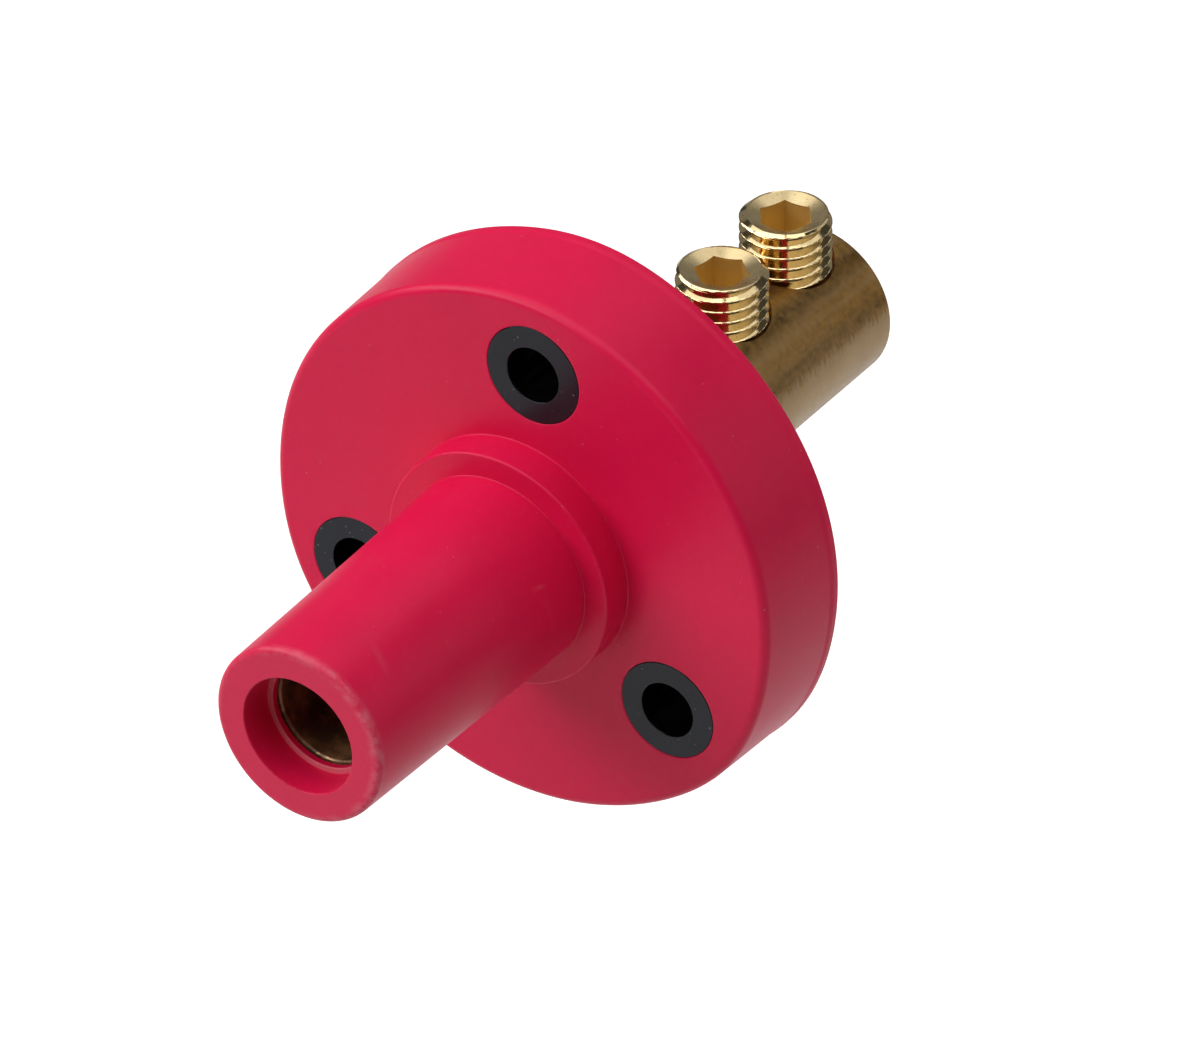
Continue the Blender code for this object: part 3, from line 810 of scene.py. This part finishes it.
def rubber_finish(s):
    """Satin moulded rubber: fine grain, slow waves, sparse specks, a nose end with wear and a painted
    highlight, a lip face painted paler as painted light, and faint rub marks.
    """
    finish, tree, shader, place = new_finish("red_rubber")
    distance, station = round_the_axis(tree, place)
    clouds = noise(tree, place, 140.0, 4.0, 0.6)
    grain = noise(tree, place, 5200.0, 3.0, 0.6)
    scuffs = noise(tree, place, 1500.0, 5.0, 0.75)
    deep = darker(s.rubber_colour, 0.93)
    base = mix_colour(tree, remap(tree, clouds, 0.3, 0.7), deep, s.rubber_colour)
    nose_end = INSULATOR_LOW.y
    end_face = remap(tree, station, nose_end + 0.0003, nose_end + 0.00005)
    lip_front = nose_end + s.mouth_depth
    # Painted light: the lip's front face lies in shade in the mouth and is painted paler, partly as a frayed
    # cut edge and partly as the haze of a lit face.
    lip = remap(tree, station, lip_front + 0.0001, lip_front + 0.00005)
    lip = times(tree, remap(tree, distance, s.mouth_radius, s.mouth_radius - 0.0001), lip)
    wear_and_sheen = times(tree, end_face, 0.05)
    wear_and_sheen = larger(tree, wear_and_sheen, times(tree, lip, 0.5))
    edge = remap(tree, station, nose_end + 0.0009, nose_end + 0.0003)
    edge = times(tree, remap(tree, distance, s.nose_tip - 0.0012, s.nose_tip - 0.0004), edge)
    across = add_node(tree, "SeparateXYZ", {0: place}).outputs["X"]
    rubbed_and_highlight = remap(tree, noise(tree, place, 900.0, 4.0, 0.7), 0.38, 0.64, 0.06, 0.30)
    # Painted highlight: the wear on the nose's edge grows paler towards +X, where its rounding faces the
    # light.
    rubbed_and_highlight = times(tree, rubbed_and_highlight, remap(tree, across, -0.004, 0.007, 0.5, 1.3))
    wear_and_sheen = larger(tree, wear_and_sheen, times(tree, edge, rubbed_and_highlight))
    for mark in RUB_MARKS:
        wear_and_sheen = combine(tree, "ADD", wear_and_sheen, rub_mark(tree, place, *mark))
    wear_and_sheen = combine(tree, "ADD", wear_and_sheen, remap(tree, scuffs, 0.55, 0.80, 0.0, 0.05))
    specks = remap(tree, noise(tree, place, 2300.0, 1.0, 0.5), 0.80, 0.82, 0.0, 0.35)
    tinted = mix_colour(tree, larger(tree, wear_and_sheen, specks), base, s.bloom_and_sheen_colour)
    roughness = remap(tree, clouds, 0.3, 0.7, 0.31, 0.38)
    waves = bump(tree, clouds, 0.00003)
    surface = bump(tree, grain, 0.000005, waves)
    join(tree, shader, Base_Color=tinted, Roughness=roughness, Normal=surface)
    join(tree, shader, IOR=1.5, Specular_IOR_Level=0.21)
    return finish


def turned_brass_finish(s):
    """Dull turned brass: tool rings, painted streak highlights, a painted reflection of the floor with a
    ragged border, a tarnished bore and painted shade on the socket's mouth.
    """
    finish, tree, shader, place = new_finish("turned_brass")
    distance, station = round_the_axis(tree, place)
    height = add_node(tree, "SeparateXYZ", {0: place}).outputs["Z"]
    mottle = noise(tree, place, 1500.0, 5.0, 0.65)
    patches = noise(tree, place, 160.0, 3.0, 0.6)
    streaks = stretched_noise(tree, place, (620.0, 45.0, 620.0), 3.0, 0.6)
    ticks = stretched_noise(tree, place, (650.0, 4200.0, 650.0), 3.0, 0.6)
    rings = stretched_noise(tree, place, (40.0, 9000.0, 40.0), 3.0, 0.6)
    dark = darker(s.brass_colour, 0.62)
    base = mix_colour(tree, remap(tree, mottle, 0.35, 0.65), dark, s.brass_colour)
    # Painted highlights: soft streaks along the axis take the paler reflected colour.
    base = mix_colour(tree, remap(tree, streaks, 0.35, 0.70, 0.0, 0.45), base, s.painted_reflection_colour)
    # Painted reflection of the floor: the barrel's lower part, below a ragged line a little above the axis,
    # takes the paler colour.
    jagged = combine(tree, "ADD", height, remap(tree, ticks, 0.3, 0.7, -0.0009, 0.0009))
    base = mix_colour(tree, remap(tree, jagged, 0.0022, 0.0012, 0.0, 0.85), base, s.painted_reflection_colour)
    base = mix_colour(tree, remap(tree, patches, 0.40, 0.75, 0.0, 0.30), base, dark)
    bore = remap(tree, distance, s.socket_radius + 0.00008, s.socket_radius + 0.00002, 0.0, 0.95)
    # Painted shade: the socket's mouth and chamfer are darkened like the tarnished bore, and left barer in
    # patches where the brass shows glints.
    front = remap(tree, station, CONTACT_LOW.y + 0.001, CONTACT_LOW.y + 0.0005)
    glints = remap(tree, noise(tree, place, 900.0, 3.0, 0.6), 0.52, 0.60, 1.0, 0.3)
    bore = larger(tree, bore, times(tree, front, glints))
    stains = remap(tree, noise(tree, place, 420.0, 4.0, 0.6), 0.40, 0.65)
    tarnish_and_shade = mix_colour(tree, stains, darker(s.tarnish_and_shade_colour, 0.25), s.tarnish_and_shade_colour)
    base = mix_colour(tree, bore, base, tarnish_and_shade)
    roughness = remap(tree, mottle, 0.3, 0.7, 0.26, 0.40)
    fine = bump(tree, mottle, 0.000008)
    surface = bump(tree, rings, 0.000006, fine)
    join(tree, shader, Base_Color=base, Roughness=roughness, Normal=surface)
    join(tree, shader, Metallic=remap(tree, bore, 0.0, 1.0, 1.0, 0.2))
    return finish


def bright_brass_finish(s):
    """Polished brass with hairline tool marks and small stains, satin and deeper in the broached hexagon."""
    finish, tree, shader, place = new_finish("bright_brass")
    tone = add_node(tree, "Attribute", attribute_name="tone").outputs["Fac"]
    stains = noise(tree, place, 1100.0, 4.0, 0.6)
    pits = remap(tree, noise(tree, place, 3600.0, 1.0, 0.5), 0.70, 0.76)
    hairs = stretched_noise(tree, place, (300.0, 300.0, 9000.0), 2.0, 0.5)
    broach = stretched_noise(tree, place, (5200.0, 5200.0, 160.0), 2.0, 0.5)
    base = mix_colour(tree, remap(tree, stains, 0.45, 0.75), s.brass_colour, darker(s.brass_colour, 0.86))
    base = mix_colour(tree, times(tree, pits, 0.6), base, darker(s.brass_colour, 0.35))
    inside, crown = remap(tree, tone, 0.6, 0.9), remap(tree, tone, 0.1, 0.4)
    broached = mix_colour(tree, broach, s.broach_colour, darker(s.broach_colour, 0.88))
    base = mix_colour(tree, inside, base, broached)
    polished = remap(tree, stains, 0.35, 0.7, 0.07, 0.13)
    roughness = larger(tree, polished, times(tree, crown, 0.24))
    roughness = larger(tree, roughness, times(tree, inside, 0.55))
    surface = bump(tree, broach, 0.000004, bump(tree, hairs, 0.0000012))
    join(tree, shader, Base_Color=base, Roughness=roughness, Normal=surface, Metallic=1.0)
    return finish


def pin_finish(s):
    """Drawn brass with a faint grain along the pin."""
    finish, tree, shader, place = new_finish("pin_brass")
    grain = stretched_noise(tree, place, (6000.0, 6000.0, 300.0))
    base = mix_colour(tree, grain, darker(s.pin_colour, 0.8), s.pin_colour)
    join(tree, shader, Base_Color=base, Roughness=0.3, Normal=bump(tree, grain, 0.000003), Metallic=1.0)
    return finish


def plastic_finish(s):
    """Satin black plastic with a fine moulded grain, sparse pale dust and a smooth hole painted a deeper
    black as shade.
    """
    finish, tree, shader, place = new_finish("black_plastic")
    tone = add_node(tree, "Attribute", attribute_name="tone").outputs["Fac"]
    grain = noise(tree, place, 4000.0, 3.0, 0.6)
    clouds = noise(tree, place, 300.0, 3.0, 0.5)
    dust = remap(tree, noise(tree, place, 3000.0, 1.0, 0.5), 0.73, 0.77)
    base = mix_colour(tree, remap(tree, clouds, 0.35, 0.75, 0.0, 0.6), s.plastic_colour, s.dust_colour)
    base = mix_colour(tree, times(tree, dust, 0.5), base, DUST)
    # Painted shade: the hole takes a deeper black.
    base = mix_colour(tree, tone, base, PAINTED_HOLE_SHADE)
    roughness = remap(tree, clouds, 0.3, 0.7, 0.20, 0.28)
    roughness = times(tree, roughness, remap(tree, tone, 0.0, 1.0, 1.0, 0.3))
    join(tree, shader, Base_Color=base, Roughness=roughness, Normal=bump(tree, grain, 0.000002))
    join(tree, shader, Specular_IOR_Level=0.27)
    return finish


def floor_finish(s):
    """Pale floor that keeps the object's shadow and shows as white.

    Lamp light on it is topped up to white for the camera, near the object by the lift, and further off,
    where the lamps fade, by a strength of 1. Reflections see it topped up by the gleam.
    """
    finish, tree, shader, place = new_finish("floor_white")
    join(tree, shader, Base_Color=(*s.floor_colour, 1.0), Roughness=0.9)
    shader.inputs["Specular IOR Level"].default_value = 0.0
    path = add_node(tree, "LightPath").outputs
    distance = add_node(tree, "VectorMath", {0: place}, operation="LENGTH").outputs["Value"]
    far = remap(tree, distance, s.fade_start, s.fade_end, s.floor_lift, 1.0)
    strength = times(tree, path["Is Camera Ray"], far)
    strength = combine(tree, "ADD", strength, times(tree, path["Is Glossy Ray"], s.floor_gleam))
    glow = add_node(tree, "Emission", {"Color": (1.0, 1.0, 1.0, 1.0), "Strength": strength})
    both = add_node(tree, "AddShader", {0: shader.outputs[0], 1: glow.outputs[0]})
    tree.links.new(both.outputs[0], tree.nodes["Material Output"].inputs["Surface"])
    return finish


def add_softbox(name, low, high, radiance, turn):
    """A flat lamp between two corners, which shines at the object.

    Its corners are across, away from the camera and up, in axes turned about Z with the camera. The
    direction in which the corners agree is the lamp's own. Its power is radiance * pi * its area.
    """
    low, high = Vector(low), Vector(high)
    size, middle = high - low, (low + high) / 2
    thin = min(range(3), key=lambda k: size[k])
    first, second = (thin + 1) % 3, (thin + 2) % 3
    behind = math.copysign(1, middle[thin])
    axes = Matrix.Diagonal((1, 1, 1))
    axes = Matrix((axes[first], axes[second] * behind, axes[thin] * behind)).transposed()
    lamp = bpy.data.lights.new(name, "AREA")
    lamp.shape = "RECTANGLE"
    lamp.size, lamp.size_y = size[first], size[second]
    lamp.energy = radiance * math.pi * lamp.size * lamp.size_y
    made = bpy.data.objects.new(name, lamp)
    studio = Matrix.Rotation(turn, 3, "Z")
    made.location = studio @ middle
    made.rotation_euler = (studio @ axes).to_euler()
    bpy.context.scene.collection.objects.link(made)


def make_world(s):
    world = bpy.data.worlds.new("surroundings")
    world.use_nodes = True
    tree = world.node_tree
    background = tree.nodes["Background"]
    background.inputs["Color"].default_value = (*s.world_colour, 1.0)
    background.inputs["Strength"].default_value = 1.0
    bpy.context.scene.world = world


def make_camera(s):
    data = bpy.data.cameras.new("camera")
    data.sensor_fit = "HORIZONTAL"
    data.sensor_width = 36.0
    data.lens = s.camera_lens
    data.clip_start, data.clip_end = 0.01, 20.0
    camera = bpy.data.objects.new("camera", data)
    camera.location = s.camera_place
    camera.rotation_euler = s.camera_turn
    bpy.context.scene.collection.objects.link(camera)
    bpy.context.scene.camera = camera


def make_floor(s):
    """A round floor: rings of points at growing radius about the upright axis."""
    turn = turns_round(FLOOR_AROUND)
    rings = s.floor_radius * np.linspace(0, 1, 12)[1:, None] ** 2
    level = INSULATOR_LOW.z - s.floor_drop
    grid = np.stack([rings * np.cos(turn), rings * np.sin(turn), level + 0 * rings * turn], axis=-1)
    points = np.concatenate([[(0.0, 0.0, level)], grid.reshape(-1, 3)])
    index = 1 + np.arange(grid.shape[0] * FLOOR_AROUND).reshape(-1, FLOOR_AROUND)
    quads = np.stack([index[:-1], index[1:], np.roll(index[1:], -1, 1), np.roll(index[:-1], -1, 1)], -1)
    centre = np.stack([0 * index[0], index[0], np.roll(index[0], -1)], axis=-1)
    mesh = bpy.data.meshes.new("floor")
    mesh.from_pydata(points.tolist(), [], centre.tolist() + quads.reshape(-1, 4).tolist())
    floor = add_object("floor", mesh, floor_finish(s))


class RECEPTACLE_OT_insulator(bpy.types.Operator):
    """Build the rubber insulator: flange, collar, nose, mouth and boss"""

    bl_idname = "receptacle.insulator"
    bl_label = "Insulator"

    def execute(self, context):
        s = context.scene.receptacle_insulator
        mesh = make_insulator_mesh(s)
        add_piece("insulator", mesh, rubber_finish(s), CARRIER, ["insulator_body"])
        return {"FINISHED"}


class RECEPTACLE_OT_contact(bpy.types.Operator):
    """Build the turned brass contact and its cross pin"""

    bl_idname = "receptacle.contact"
    bl_label = "Contact"

    def execute(self, context):
        s = context.scene.receptacle_contact
        mesh = make_contact_mesh(s, context.scene.receptacle_screws)
        add_piece("contact", mesh, turned_brass_finish(s), CARRIER, ["contact_body"])
        add_piece("cross_pin", make_pin_mesh(), pin_finish(s), CARRIER, ["cam_pin"])
        return {"FINISHED"}


class RECEPTACLE_OT_screws(bpy.types.Operator):
    """Build the two clamping screws with their threads and dished hexagon sockets"""

    bl_idname = "receptacle.screws"
    bl_label = "Clamping screws"

    def execute(self, context):
        s = context.scene.receptacle_screws
        finish = bright_brass_finish(s)
        for node, body in SCREW_BODIES.items():
            add_piece(f"clamping_{body}", make_screw_mesh(s, node), finish, body, [node], 40)
        return {"FINISHED"}


class RECEPTACLE_OT_bushes(bpy.types.Operator):
    """Build the three black bushes for the panel screws"""

    bl_idname = "receptacle.bushes"
    bl_label = "Bushes"

    def execute(self, context):
        s = context.scene.receptacle_bushes
        finish = plastic_finish(s)
        for node in BUSH_NODES:
            name = node.replace("mounting_", "")
            add_piece(name, make_bush_mesh(s, node), finish, CARRIER, [node])
        return {"FINISHED"}


class RECEPTACLE_OT_stage(bpy.types.Operator):
    """Build the floor, the soft lamps, the surroundings and the camera"""

    bl_idname = "receptacle.stage"
    bl_label = "Stage"

    def execute(self, context):
        s = context.scene.receptacle_stage
        make_floor(s)
        make_world(s)
        for name, (low, high, radiance) in SOFTBOXES.items():
            add_softbox(name, low, high, radiance, s.camera_turn[2])
        make_camera(s)
        context.scene.view_settings.view_transform = "Standard"
        return {"FINISHED"}


class RECEPTACLE_PT_panel(bpy.types.Panel):
    """Lists the pieces of the receptacle"""

    bl_idname = "RECEPTACLE_PT_panel"
    bl_label = "Receptacle"
    bl_space_type = "VIEW_3D"
    bl_region_type = "UI"
    bl_category = "Receptacle"

    def draw(self, context):
        for operator in OPERATORS:
            self.layout.operator(operator.bl_idname)


SETTINGS = {
    "receptacle_insulator": InsulatorSettings,
    "receptacle_contact": ContactSettings,
    "receptacle_screws": ScrewSettings,
    "receptacle_bushes": BushSettings,
    "receptacle_stage": StageSettings,
}
OPERATORS = (
    RECEPTACLE_OT_insulator,
    RECEPTACLE_OT_contact,
    RECEPTACLE_OT_screws,
    RECEPTACLE_OT_bushes,
    RECEPTACLE_OT_stage,
)
CLASSES = (*SETTINGS.values(), *OPERATORS, RECEPTACLE_PT_panel)


def register():
    for made in CLASSES:
        bpy.utils.register_class(made)
    for name, settings in SETTINGS.items():
        setattr(bpy.types.Scene, name, PointerProperty(type=settings))


def unregister():
    for name in SETTINGS:
        delattr(bpy.types.Scene, name)
    for made in reversed(CLASSES):
        bpy.utils.unregister_class(made)


def main():
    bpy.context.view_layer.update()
    register()
    bpy.ops.receptacle.insulator()
    bpy.ops.receptacle.contact()
    bpy.ops.receptacle.screws()
    bpy.ops.receptacle.bushes()
    bpy.ops.receptacle.stage()


if __name__ == "__main__":
    main()
